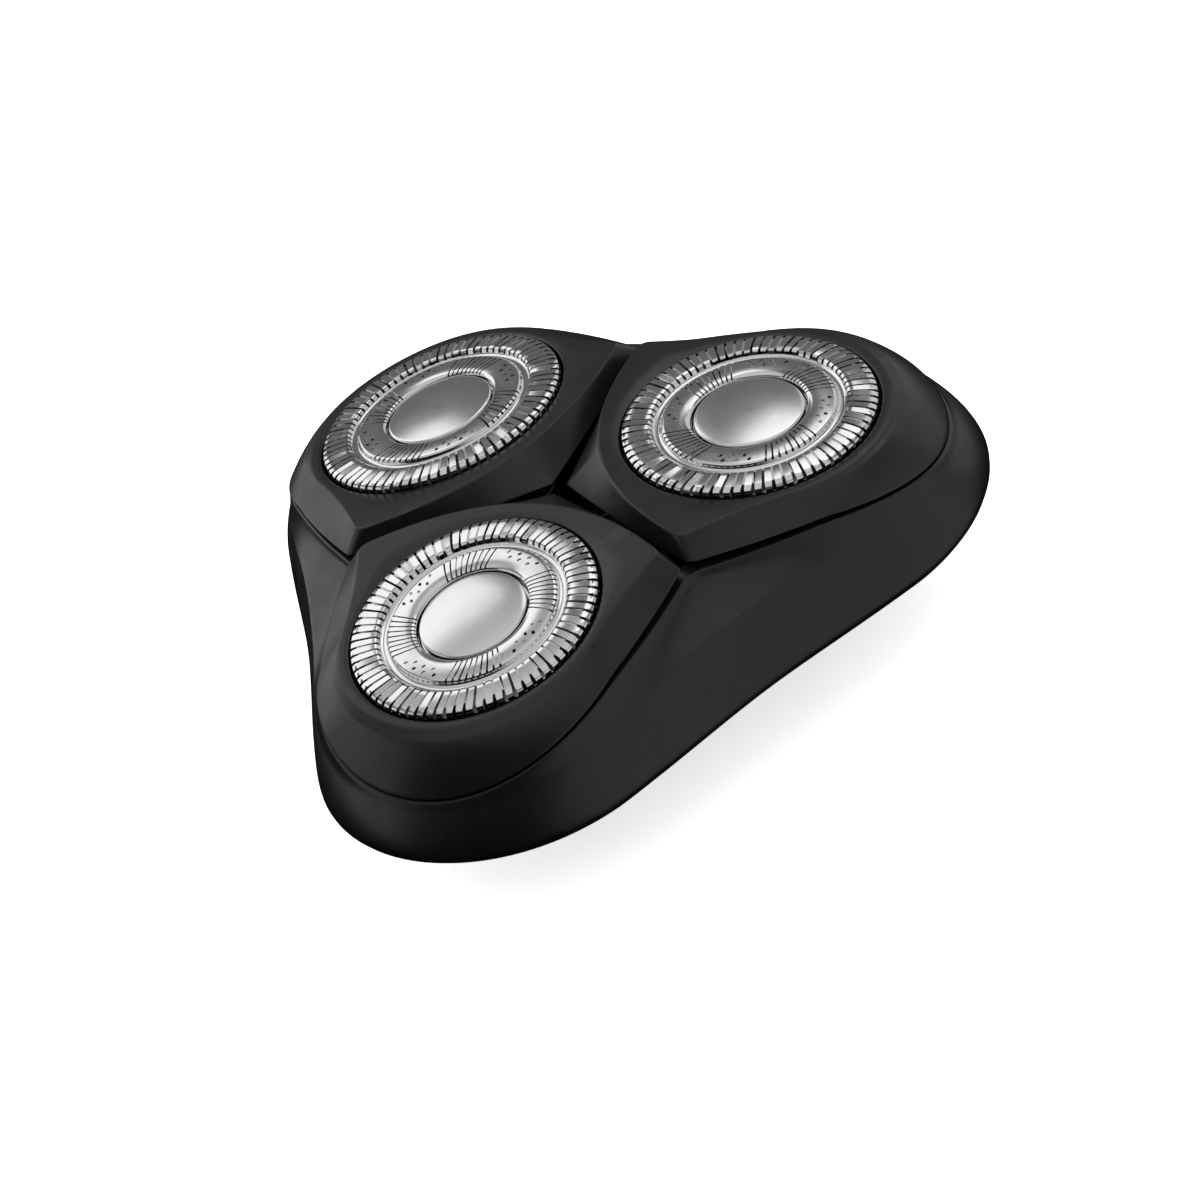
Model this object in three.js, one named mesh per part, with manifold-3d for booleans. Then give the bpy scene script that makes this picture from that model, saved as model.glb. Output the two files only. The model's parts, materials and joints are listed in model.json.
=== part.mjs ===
// Three-head rotary shaving unit: the detachable head of an electric shaver.
// Millimetres, +Z up out of the shaving side. The origin is on the drive axis, at the flat
// end face of the drive coupling, and the three heads sit at -90, 30 and 150 degrees.
import * as THREE from "three";
import { mergeVertices } from "three/addons/utils/BufferGeometryUtils.js";
import Module from "manifold-3d";

const wasm = await Module();
wasm.setup();

// ---------------------------------------------------------------- driving dimensions
const HEADS = { front: -90, right: 30, left: 150 };
const DEG = Math.PI / 180;
const CAP_R = 11.5;
const HEAD_R = 18.22;
const HEAD_LEAN = 6.59 * DEG;
const HEAD_Z = 22;
const GAP = 0.3;

// petals, in the head's own frame: x away from the drive axis, z along the cap's axis
const PETAL_TOP = -0.35;
const PETAL_HOLE_R = CAP_R + GAP;
const SKIN = 1.25;
const CREST = { tip: -13.6, wedge: 0, corner: [-8.1, 15.2], fillet: 1, bow: -0.4, endX: 0, endR: 12.8 };
const SEAM = { tip: -17.2, wedge: 0.85, corner: [-7.9, 16.8], fillet: 0.6, bow: 0.3, endX: 2.3, endR: 14.8 };
const CAVITY_TOP = { tip: -12.8, wedge: 0, corner: [-6.6, 13.9], fillet: 1, bow: 0, endX: 0, endR: 12.9 };
const CAVITY_FOOT = { tip: -12.9, wedge: 0, corner: [-6.8, 15.2], fillet: 1, bow: 0, endX: 2.3, endR: 13.3 };

// petal hinge and the slit that its tilt needs
const HINGE_X = 10.6;
const HINGE_DEPTH = 6;
const PIN_R = 0.8;
const PIN_HALF = 8.7;
const SLIT_PER_MM = 0.036;
const PETAL_ROUNDNESS = 0.5;

// housing
const BELLY_Z = 10.6;
const TURN_Z = 8;
const TURN_INSET = 7.4;
const UNDERSIDE_Z = 5;
const UNDERSIDE_INSET = 9.5;
const UNDERSIDE_LEAST_R = 18.2;
const FLOOR_TOP = 6.5;
const BELLY_CENTRE = 19.1;
const BELLY_ROUND = 17.8;
const WAIST_INSET = 0.65;
const LOBE_FLARE = 1.6;
const CREASE_RISE = 0.7;
const CREASE_FLARE = 0.33;
const WALL = 1.6;

// neck and base cover
const NECK_FOOT = -1;
const NECK_R = 12.6;
const NECK_BORE = 11.2;
const COVER_Z = [3.4, 4.7];
const COVER_R = 17.5;

// gear train: one drive gear turns three driven gears
const MODULE = 0.8;
const DRIVE_TEETH = 24;
const DRIVEN_TEETH = 20;
const GEAR_DISTANCE = (MODULE * (DRIVE_TEETH + DRIVEN_TEETH)) / 2;
const GEAR_Z = [6.9, 9.3];
const PLATE_Z = [9.7, 10.7];
const CARRIER_Z = [11, 12.4];
const POST_RING = 14.5;
const BASE_SCREW_RING = 15.2;

// ---------------------------------------------------------------- materials
function material(color, roughness, metalness) {
  return new THREE.MeshStandardMaterial({ color, roughness, metalness });
}
const blackPlastic = material(0x17181a, 0.38, 0);
const innerPlastic = material(0x2b2c2f, 0.55, 0);
const whitePlastic = material(0xd9d7cf, 0.5, 0);
const rubber = material(0x141414, 0.8, 0);
const polishedSteel = material(0xd2d4d6, 0.12, 1);
const steel = material(0xa9acb0, 0.3, 1);

// ---------------------------------------------------------------- solids
function manifoldOf(positions, triangles) {
  const mesh = new wasm.Mesh({ numProp: 3, vertProperties: positions, triVerts: triangles });
  return new wasm.Manifold(mesh);
}

// A closed geometry as a manifold solid whose faces point out.
function solid(geometry) {
  const bare = geometry.index ? geometry.toNonIndexed() : geometry.clone();
  bare.deleteAttribute("normal");
  bare.deleteAttribute("uv");
  const merged = mergeVertices(bare, 1e-4);
  const positions = merged.attributes.position.array;
  const triangles = new Uint32Array(merged.index.array);
  const made = manifoldOf(positions, triangles);
  if (made.volume() > 0) return made;
  for (let i = 0; i < triangles.length; i += 3) {
    [triangles[i + 1], triangles[i + 2]] = [triangles[i + 2], triangles[i + 1]];
  }
  return manifoldOf(positions, triangles);
}

function geometryOf(made) {
  const { vertProperties, triVerts, numProp } = made.getMesh();
  const count = vertProperties.length / numProp;
  const positions = new Float32Array(count * 3);
  for (let i = 0; i < count; i++) {
    positions.set(vertProperties.subarray(i * numProp, i * numProp + 3), i * 3);
  }
  const geometry = new THREE.BufferGeometry();
  geometry.setAttribute("position", new THREE.BufferAttribute(positions, 3));
  geometry.setIndex(new THREE.BufferAttribute(new Uint32Array(triVerts), 1));
  geometry.computeVertexNormals();
  return geometry;
}

// A profile of [radius, z] points turned about the z axis.
function turned(profile, sides = 32) {
  const points = profile.map(([r, z]) => new THREE.Vector2(r, z));
  return solid(new THREE.LatheGeometry(points, sides).rotateX(Math.PI / 2));
}

function ring(inner, outer, low, high, sides = 32) {
  const profile = [[inner, low], [outer, low], [outer, high], [inner, high], [inner, low]];
  return turned(profile, sides);
}

function rod(radius, low, high, sides = 16) {
  return turned([[0, low], [radius, low], [radius, high], [0, high]], sides);
}

function box(sizeX, sizeY, low, high, x = 0, y = 0) {
  const shape = new THREE.BoxGeometry(sizeX, sizeY, high - low);
  return solid(shape.translate(x, y, (low + high) / 2));
}

function prism(points, low, high) {
  const shape = new THREE.Shape(points.map(([x, y]) => new THREE.Vector2(x, y)));
  const geometry = new THREE.ExtrudeGeometry(shape, { depth: high - low, bevelEnabled: false });
  return solid(geometry.translate(0, 0, low));
}

function moved(made, x, y, z = 0) {
  return made.translate([x, y, z]);
}

function aroundZ(made, degrees) {
  return made.rotate([0, 0, degrees]);
}

// Rings of the same number of points, skinned in order and closed with flat ends.
function loft(rings) {
  const count = rings[0].length;
  const positions = rings.flat().flatMap((p) => [p.x, p.y, p.z]);
  const index = [];
  for (let level = 0; level + 1 < rings.length; level++) {
    for (let i = 0; i < count; i++) {
      const a = level * count + i;
      const b = level * count + ((i + 1) % count);
      index.push(a, b, b + count, a, b + count, a + count);
    }
  }
  const flat = (points) => points.map((p) => new THREE.Vector2(p.x, p.y));
  for (const [a, b, c] of THREE.ShapeUtils.triangulateShape(flat(rings[0]), [])) {
    index.push(a, c, b);
  }
  const last = (rings.length - 1) * count;
  for (const [a, b, c] of THREE.ShapeUtils.triangulateShape(flat(rings.at(-1)), [])) {
    index.push(last + a, last + b, last + c);
  }
  const geometry = new THREE.BufferGeometry();
  geometry.setAttribute("position", new THREE.Float32BufferAttribute(positions, 3));
  geometry.setIndex(index);
  return solid(geometry);
}

class Helix extends THREE.Curve {
  constructor(radius, low, high, turns) {
    super();
    Object.assign(this, { radius, low, high, turns });
  }
  getPoint(t, target = new THREE.Vector3()) {
    const angle = 2 * Math.PI * this.turns * t;
    const z = THREE.MathUtils.lerp(this.low, this.high, t);
    return target.set(this.radius * Math.cos(angle), this.radius * Math.sin(angle), z);
  }
}

function coilSpring(radius, wire, low, high, turns) {
  const section = new THREE.Shape();
  section.absarc(0, 0, wire, 0, 2 * Math.PI);
  const path = new Helix(radius, low + wire, high - wire, turns);
  const options = { steps: Math.round(turns * 10), curveSegments: 2, extrudePath: path };
  return solid(new THREE.ExtrudeGeometry(section, { ...options, bevelEnabled: false }));
}

// A screw with its head up, its seat at z = 0 and a driver recess.
function screw(shankR, length, headR, headHeight) {
  const recess = headHeight * 0.55;
  const profile = [[0, -length], [shankR, -length], [shankR, 0], [headR, 0]];
  profile.push([headR, headHeight * 0.6], [headR * 0.8, headHeight], [0, headHeight]);
  const slot = box(headR * 1.2, headR * 0.35, headHeight - recess, headHeight + 1);
  return turned(profile, 12).subtract(slot).subtract(aroundZ(slot, 90));
}

// ---------------------------------------------------------------- petal outlines
const INNER_STEPS = 4;
const FILLET_STEPS = 2;
const SIDE_STEPS = 3;
const END_STEPS = 6;

function bent(a, control, b, t) {
  return new THREE.QuadraticBezierCurve(a, control, b).getPoint(t);
}

// Half of a petal's outline, from its tip near the drive axis round to its outer end.
function halfOutline({ tip, wedge, corner, fillet, bow, endX, endR }) {
  const start = new THREE.Vector2(tip, 0);
  const knee = new THREE.Vector2(...corner);
  const square = new THREE.Vector2(tip, knee.y / 2);
  const control = square.lerp(start.clone().lerp(knee, 0.5), wedge);
  const reach = Math.hypot(knee.x - endX, knee.y);
  const touch = Math.atan2(knee.y, knee.x - endX) - Math.acos(endR / reach);
  const onEnd = (angle) => new THREE.Vector2(endX + endR * Math.cos(angle), endR * Math.sin(angle));
  const tangent = onEnd(touch);
  const along = tangent.clone().sub(knee);
  const outward = new THREE.Vector2(-along.y, along.x).normalize();
  const bulge = knee.clone().lerp(tangent, 0.5).addScaledVector(outward, 2 * bow);
  const cutInner = 1 - fillet / start.distanceTo(knee);
  const cutSide = fillet / along.length();
  const points = [];
  for (let i = 0; i < INNER_STEPS; i++) {
    points.push(bent(start, control, knee, (cutInner * i) / INNER_STEPS));
  }
  const before = bent(start, control, knee, cutInner);
  const after = bent(knee, bulge, tangent, cutSide);
  for (let i = 0; i < FILLET_STEPS; i++) {
    points.push(bent(before, knee, after, i / FILLET_STEPS));
  }
  for (let i = 0; i < SIDE_STEPS; i++) {
    points.push(bent(knee, bulge, tangent, cutSide + ((1 - cutSide) * i) / SIDE_STEPS));
  }
  for (let i = 0; i <= END_STEPS; i++) {
    points.push(onEnd(touch * (1 - i / END_STEPS)));
  }
  return points;
}

// The whole outline, counter-clockwise from the tip.
function outline(spec) {
  const half = halfOutline(spec);
  const mirrored = half.slice(0, -1).map((p) => new THREE.Vector2(p.x, -p.y));
  return [...mirrored, ...half.slice(1).reverse()];
}

// Height of the petal's lower edge: level beside the cap, lower towards the outer end.
function seamHeight(x) {
  const outer = Math.max(0, (x - 3) / 14);
  return -2.2 - 2.4 * outer ** 2 - 0.09 * Math.max(0, -8 - x);
}

// The slit under the petal widens away from its hinge, so that it can tilt.
function slit(x) {
  return GAP + SLIT_PER_MM * Math.max(0, HINGE_X - x);
}

// The petal's skin at a fraction of the way from its flat top to its lower edge.
function petalRing(fraction) {
  const crest = outline(CREST);
  return outline(SEAM).map((foot, i) => {
    const { x, y } = crest[i].clone().lerp(foot, fraction);
    const roundness = 1 + PETAL_ROUNDNESS * THREE.MathUtils.smoothstep(x, 2, 12);
    const drop = (PETAL_TOP - seamHeight(foot.x)) * fraction ** roundness;
    return new THREE.Vector3(x, y, PETAL_TOP - drop);
  });
}

function petalSolid() {
  const edge = petalRing(1);
  const within = edge.map((p) => new THREE.Vector3(0.7 * p.x, 0.7 * p.y, p.z));
  const skin = loft([within, edge, ...[0.7, 0.4, 0].map(petalRing)]);
  const level = (spec, z) => outline(spec).map((p) => new THREE.Vector3(p.x, p.y, z));
  const cavity = loft([
    level(CAVITY_FOOT, -7),
    level(CAVITY_FOOT, -3.2),
    level(CAVITY_TOP, PETAL_TOP - SKIN),
  ]);
  const hole = rod(PETAL_HOLE_R, -9, 2, 36);
  return skin.subtract(cavity).subtract(hole).add(hingeEars());
}

// Two ears under the petal's outer end, round the hinge pin.
function hingeEars() {
  const side = [[10.9, -2.2], [12.1, -2.4], [12.3, -3.4], [12.3, -7.1], [8.9, -7.1]];
  side.push([8.9, -4.7], [10.9, -4.7]);
  const ear = prism(side, 0, 1.2).rotate([90, 0, 0]);
  const bore = rod(PIN_R + GAP, -12, 12).rotate([90, 0, 0]).translate([HINGE_X, 0, -HINGE_DEPTH]);
  return moved(ear, 0, 8.4).add(moved(ear, 0, -7.2)).subtract(bore);
}

// ---------------------------------------------------------------- housing
// A point in a head's frame, as a point of the unit with that head on +X.
function headPoint(x, y, z) {
  const out = HEAD_R + x * Math.cos(HEAD_LEAN) + z * Math.sin(HEAD_LEAN);
  return new THREE.Vector3(out, y, HEAD_Z - x * Math.sin(HEAD_LEAN) + z * Math.cos(HEAD_LEAN));
}

// How far a direction is from the lobe's axis towards the waist between two lobes.
function waistShare(angle) {
  return THREE.MathUtils.smoothstep(Math.abs(angle), 25 * DEG, 60 * DEG);
}

// Plan radius of the housing's widest section: three rounds joined by slightly hollow sides.
function bellyRadius(angle) {
  const folded = Math.abs(angle);
  const touchX = BELLY_CENTRE + BELLY_ROUND / 2;
  const touch = Math.atan2(BELLY_ROUND * Math.sin(60 * DEG), touchX);
  if (folded > touch) {
    const side = (BELLY_CENTRE / 2 + BELLY_ROUND) / Math.cos(60 * DEG - folded);
    return side - WAIST_INSET * waistShare(angle);
  }
  const across = BELLY_CENTRE * Math.sin(folded);
  const round = BELLY_CENTRE * Math.cos(folded) + Math.sqrt(BELLY_ROUND ** 2 - across ** 2);
  return round - WAIST_INSET * waistShare(angle);
}

// The rim's points, each under a petal's lower edge, all the way round.
function rimPoints() {
  const foot = outline(SEAM);
  const first = INNER_STEPS + 1;
  const used = foot.slice(first, foot.length - first + 1);
  const lobe = used.map((p) => headPoint(p.x, p.y, seamHeight(p.x) - slit(p.x)));
  const spin = (p, degrees) => p.clone().applyAxisAngle(new THREE.Vector3(0, 0, 1), degrees * DEG);
  return Object.values(HEADS).flatMap((degrees) =>
    lobe.map((p) => ({ rim: spin(p, degrees), own: Math.atan2(p.y, p.x), lobe: degrees })),
  );
}

// Between two lobes a steep wall rises to a soft crease, and a hollow cove runs in above it.
function waistFlare(rise) {
  if (rise < CREASE_RISE) return CREASE_FLARE * (rise / CREASE_RISE) ** 1.6;
  const above = (rise - CREASE_RISE) / (1 - CREASE_RISE);
  return CREASE_FLARE + (1 - CREASE_FLARE) * Math.sin((above * Math.PI) / 2);
}

// The housing's side from its rim (rise 1) through its belly (0) to its lower turn (-1).
function housingPoint({ rim, own, lobe }, rise, inset) {
  const rimR = Math.hypot(rim.x, rim.y);
  const bellyR = bellyRadius(own);
  let radius = bellyR;
  let z = BELLY_Z;
  if (rise > 0) {
    const flare = THREE.MathUtils.lerp(rise ** LOBE_FLARE, waistFlare(rise), waistShare(own));
    radius -= (bellyR - rimR) * flare;
    z += (rim.z - BELLY_Z) * rise;
  } else {
    radius -= TURN_INSET * (1 - Math.sqrt(1 - rise ** 2));
    z += (BELLY_Z - TURN_Z) * rise;
  }
  const angle = own + lobe * DEG;
  return new THREE.Vector3((radius - inset) * Math.cos(angle), (radius - inset) * Math.sin(angle), z);
}

// The edge of the flat middle of the underside.
function undersidePoint({ own, lobe }, inset, z) {
  const radius = Math.max(bellyRadius(own) - UNDERSIDE_INSET, UNDERSIDE_LEAST_R) - inset;
  const angle = own + lobe * DEG;
  return new THREE.Vector3(radius * Math.cos(angle), radius * Math.sin(angle), z);
}

function housingSolid() {
  const rim = rimPoints();
  const level = (rise, inset) => rim.map((p) => housingPoint(p, rise, inset));
  const underside = rim.map((p) => undersidePoint(p, 0, UNDERSIDE_Z));
  const sides = [-1, -0.85, -0.5, 0, 0.35, 0.7, 0.85, 1].map((rise) => level(rise, 0));
  const outer = loft([underside, ...sides, level(1, 2 * WALL)]);
  const lifted = level(1, WALL).map((p) => p.setZ(p.z + 2));
  const floor = rim.map((p) => undersidePoint(p, 0.5, FLOOR_TOP));
  const turn = level(-1, 0.8).map((p) => p.setZ(TURN_Z + WALL));
  const walls = [0, 0.35, 0.7, 0.85, 1].map((rise) => level(rise, WALL));
  const inner = loft([floor, turn, ...walls, lifted]);
  let shell = outer.subtract(inner).subtract(rod(6, 0, 10, 24));
  for (const degrees of Object.values(HEADS)) {
    const gearPost = moved(rod(1, FLOOR_TOP - 0.5, 8.4, 12), GEAR_DISTANCE, 0);
    const screwPost = ring(0.9, 2.5, FLOOR_TOP - 0.5, PLATE_Z[0] - GAP, 16);
    const screwHole = moved(rod(0.9, 0, 8, 12), BASE_SCREW_RING, 0);
    shell = shell.add(aroundZ(gearPost, degrees));
    shell = shell.add(aroundZ(moved(screwPost, POST_RING, 0), degrees + 60));
    shell = shell.subtract(aroundZ(screwHole, degrees));
  }
  return shell;
}

// The cover under the housing, with the round neck that the handle's spigot enters.
function baseCoverSolid() {
  const [low, high] = COVER_Z;
  const profile = [[2.6, low], [NECK_BORE, low], [NECK_BORE, NECK_FOOT], [NECK_R - 0.4, NECK_FOOT]];
  profile.push([NECK_R, NECK_FOOT + 0.4], [NECK_R, 0.4], [NECK_R - 0.6, 0.6], [NECK_R - 0.6, 1.8]);
  profile.push([NECK_R, 2], [NECK_R, low], [COVER_R - 0.4, low], [COVER_R, low + 0.4]);
  profile.push([COVER_R, high], [2.6, high], [2.6, low]);
  let cover = turned(profile, 36);
  for (const degrees of Object.values(HEADS)) {
    const hole = moved(rod(1.2, 0, 8, 12), BASE_SCREW_RING, 0);
    const seat = moved(rod(2.2, 0, low + 0.5, 16), BASE_SCREW_RING, 0);
    cover = cover.subtract(aroundZ(hole.add(seat), degrees));
  }
  return cover;
}

// ---------------------------------------------------------------- gear train
function gear(teeth, low, high, phase) {
  const pitchR = (MODULE * teeth) / 2;
  const rootR = pitchR - 1.15 * MODULE;
  const tipR = pitchR + 0.75 * MODULE;
  const step = 360 / teeth;
  const corners = [[-0.29, rootR], [-0.1, tipR], [0.1, tipR], [0.29, rootR]];
  const points = [];
  for (let tooth = 0; tooth < teeth; tooth++) {
    for (const [shift, radius] of corners) {
      const angle = (phase + (tooth + shift) * step) * DEG;
      points.push([radius * Math.cos(angle), radius * Math.sin(angle)]);
    }
  }
  return prism(points, low, high);
}

// The coupling under the drive gear: a round boss with three dogs round its rim.
function driveCouplingSolid() {
  const boss = turned([[0, 0], [2.4, 0], [2.4, 0.6], [4, 0.6], [4, 3.1], [2, 3.1], [2, 9.6], [0, 9.6]], 20);
  const dog = box(1.8, 1.6, 0, 1, 3.1, 0);
  return [0, 120, 240].reduce((made, degrees) => made.add(aroundZ(dog, degrees)), boss);
}

function driveGearSolid() {
  const bore = rod(2 + GAP, 0, 12, 16);
  return gear(DRIVE_TEETH, ...GEAR_Z, 360 / DRIVE_TEETH / 2).subtract(bore);
}

const SLEEVE_TOP = 12.6;
const COLLAR_Z = 14.5;

// A driven gear with the sleeve that carries its spindle; a tooth points at the drive axis's gap.
function drivenGearSolid() {
  const sleeve = rod(2.4, GEAR_Z[1] - 0.5, SLEEVE_TOP, 20);
  const postBore = rod(1 + GAP, 0, 8.8, 16);
  const spindleBore = rod(1.45, 9.8, 14, 16);
  return gear(DRIVEN_TEETH, ...GEAR_Z, 180).add(sleeve).subtract(postBore).subtract(spindleBore);
}

function spindleSolid() {
  const profile = [[0, 10.1], [1.15, 10.1], [1.15, COLLAR_Z], [2, COLLAR_Z], [2, COLLAR_Z + 0.3]];
  profile.push([1, COLLAR_Z + 0.3], [0.9, 16], [1.3, 16.6], [1.3, 17.3], [0.8, 17.8], [0, 17.8]);
  return turned(profile, 12);
}

// ---------------------------------------------------------------- frames over the gears
function gearboxPlateSolid() {
  let plate = rod(9, ...PLATE_Z, 24);
  for (const degrees of Object.values(HEADS)) {
    const lobe = moved(rod(9.2, ...PLATE_Z, 24), GEAR_DISTANCE, 0);
    const web = box(9, 18.4, ...PLATE_Z, 10, 0);
    const pad = moved(rod(2.8, ...PLATE_Z, 16), POST_RING, 0);
    const strip = box(8, 5.6, ...PLATE_Z, 10.5, 0);
    plate = plate.add(aroundZ(lobe.add(web), degrees)).add(aroundZ(pad.add(strip), degrees + 60));
  }
  for (const degrees of Object.values(HEADS)) {
    const sleeveHole = moved(rod(2.8, 9, 12, 20), GEAR_DISTANCE, 0);
    const screwHole = moved(rod(1.2, 9, 12, 12), POST_RING, 0);
    plate = plate.subtract(aroundZ(sleeveHole, degrees)).subtract(aroundZ(screwHole, degrees + 60));
  }
  return plate;
}

// Three arms that reach from the drive axis to the petals' hinge pins.
function carrierSolid() {
  const [low, high] = CARRIER_Z;
  const pin = headPoint(HINGE_X, 0, -HINGE_DEPTH);
  let frame = rod(8, low, high, 24);
  for (const degrees of Object.values(HEADS)) {
    const boss = moved(rod(6, low, high, 20), GEAR_DISTANCE, 0);
    const arm = box(pin.x + 1.2, 6, low, high, (pin.x + 1.2) / 2, 0);
    const cross = box(3, 14, low, high, pin.x, 0);
    const lug = box(2.4, 1.2, high - 0.5, pin.z + 1.1, pin.x, 6);
    const lugs = lug.add(moved(lug, 0, -12));
    const bore = rod(PIN_R + GAP, -12, 12).rotate([90, 0, 0]).translate([pin.x, 0, pin.z]);
    const foot = moved(rod(2.6, low, high, 12), POST_RING, 0).add(box(8, 4, low, high, 10.5, 0));
    frame = frame.add(aroundZ(boss.add(arm).add(cross).add(lugs).subtract(bore), degrees));
    frame = frame.add(aroundZ(foot, degrees + 60));
  }
  for (const degrees of Object.values(HEADS)) {
    const sleeveHole = moved(rod(3, 9, 14, 16), GEAR_DISTANCE, 0);
    const screwHole = moved(rod(1.2, 9, 14, 12), POST_RING, 0);
    frame = frame.subtract(aroundZ(sleeveHole, degrees)).subtract(aroundZ(screwHole, degrees + 60));
  }
  return frame;
}

// ---------------------------------------------------------------- shaving heads
const CAP_PROFILE = [
  [5.3, -0.55], [5.6, 0.3], [7.9, 0.3], [8.1, 0], [8.8, 0], [9, 0.3], [11.2, 0.3],
  [CAP_R, 0], [CAP_R, -2], [12.6, -2], [12.6, -2.5], [11.1, -2.5], [11.1, -0.3], [5.9, -0.3],
  [5.5, -0.95], [2.6, -0.95], [2.6, -0.55], [5.3, -0.55],
];
const CAP_SLOTS = 12;

function guardCapSolid() {
  let cap = turned(CAP_PROFILE, 32);
  const slot = box(1.7, 0.6, -0.8, 1, 10.1, 0);
  for (let i = 0; i < CAP_SLOTS; i++) {
    cap = cap.subtract(aroundZ(slot, (360 * i) / CAP_SLOTS));
  }
  return cap;
}

function centreDiscSolid() {
  const profile = [[0, -1], [2.2, -1], [2.2, -0.25], [5, -0.25], [5, 0.1], [4.7, 0.3]];
  profile.push([3, 0.44], [0, 0.5]);
  return turned(profile, 24);
}

const BLADES = 12;

// A disc with two rings of blades that run just under the cap's two tracks.
function cutterSolid() {
  let cutter = rod(10.7, -1.9, -1.3, 28);
  const outer = box(1.5, 0.5, -1.5, -0.6, 10.05, 0);
  const inner = box(1.5, 0.5, -1.5, -0.6, 6.8, 0);
  for (let i = 0; i < BLADES; i++) {
    cutter = cutter.add(aroundZ(outer.add(inner), (360 * i) / BLADES));
  }
  return cutter;
}

function cutterCouplerSolid() {
  const profile = [[0, -2.2], [3.2, -2.2], [3.2, -5.5], [2.3, -5.5], [2.3, -2.7], [0, -2.7]];
  return turned(profile, 20);
}

// ---------------------------------------------------------------- assembly
const unit = new THREE.Group();

function add(parent, name, made, look) {
  const mesh = new THREE.Mesh(geometryOf(made), look);
  mesh.name = name;
  parent.add(mesh);
  return mesh;
}

add(unit, "housing_shell", housingSolid(), blackPlastic);
add(unit, "base_cover", baseCoverSolid(), innerPlastic);
add(unit, "neck_seal_ring", ring(12.3, 13.1, 0.75, 1.65, 32), rubber);
add(unit, "gearbox_plate", gearboxPlateSolid(), innerPlastic);
add(unit, "carrier_frame", carrierSolid(), innerPlastic);
add(unit, "drive_coupling", driveCouplingSolid(), whitePlastic);
add(unit, "drive_gear", driveGearSolid(), whitePlastic);

const pinHeight = headPoint(HINGE_X, 0, -HINGE_DEPTH);
const springFoot = headPoint(-14.6, 0, -2.85);

for (const [side, degrees] of Object.entries(HEADS)) {
  const sector = new THREE.Group();
  sector.rotation.z = degrees * DEG;
  unit.add(sector);

  const baseScrew = add(sector, `base_screw_${side}`, screw(0.6, 2.2, 1.8, 0.9), steel);
  baseScrew.rotation.x = Math.PI;
  baseScrew.position.set(BASE_SCREW_RING, 0, COVER_Z[0] + 0.2);

  const opposite = new THREE.Group();
  opposite.rotation.z = 60 * DEG;
  sector.add(opposite);
  const carrierScrew = add(opposite, `carrier_screw_${side}`, screw(0.6, 4, 2, 1.1), steel);
  carrierScrew.position.set(POST_RING, 0, CARRIER_Z[1] + GAP);

  const pin = add(sector, `pivot_pin_${side}`, rod(PIN_R, -PIN_HALF, PIN_HALF, 12), steel);
  pin.rotation.x = Math.PI / 2;
  pin.position.set(pinHeight.x, 0, pinHeight.z);

  const train = new THREE.Group();
  train.position.x = GEAR_DISTANCE;
  sector.add(train);
  add(train, `driven_gear_${side}`, drivenGearSolid(), whitePlastic);
  add(train, `spindle_${side}`, spindleSolid(), steel);
  const wrap = coilSpring(1.6, 0.22, SLEEVE_TOP + 0.15, COLLAR_Z - 0.15, 2.5);
  add(train, `spindle_spring_${side}`, wrap, steel);

  const lift = coilSpring(1.2, 0.22, CARRIER_Z[1] + GAP, springFoot.z - GAP, 5);
  const petalSpring = add(sector, `petal_spring_${side}`, lift, steel);
  petalSpring.position.x = springFoot.x;

  const head = new THREE.Group();
  head.position.set(HEAD_R, 0, HEAD_Z);
  head.rotation.y = HEAD_LEAN;
  sector.add(head);
  add(head, `petal_${side}`, petalSolid(), blackPlastic);
  add(head, `retaining_ring_${side}`, ring(9.4, 12.4, -4.3, -3.6, 28), innerPlastic);
  add(head, `guard_cap_${side}`, guardCapSolid(), polishedSteel);
  add(head, `centre_disc_${side}`, centreDiscSolid(), polishedSteel);
  add(head, `cutter_${side}`, cutterSolid(), steel);
  add(head, `cutter_coupler_${side}`, cutterCouplerSolid(), whitePlastic);
}

export default unit;
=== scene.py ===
"""Visual model of the three-head shaving unit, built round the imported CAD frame. Metres, +Z up."""

import json
import math

import bpy
import numpy as np
from mathutils import Matrix, Vector


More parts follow.
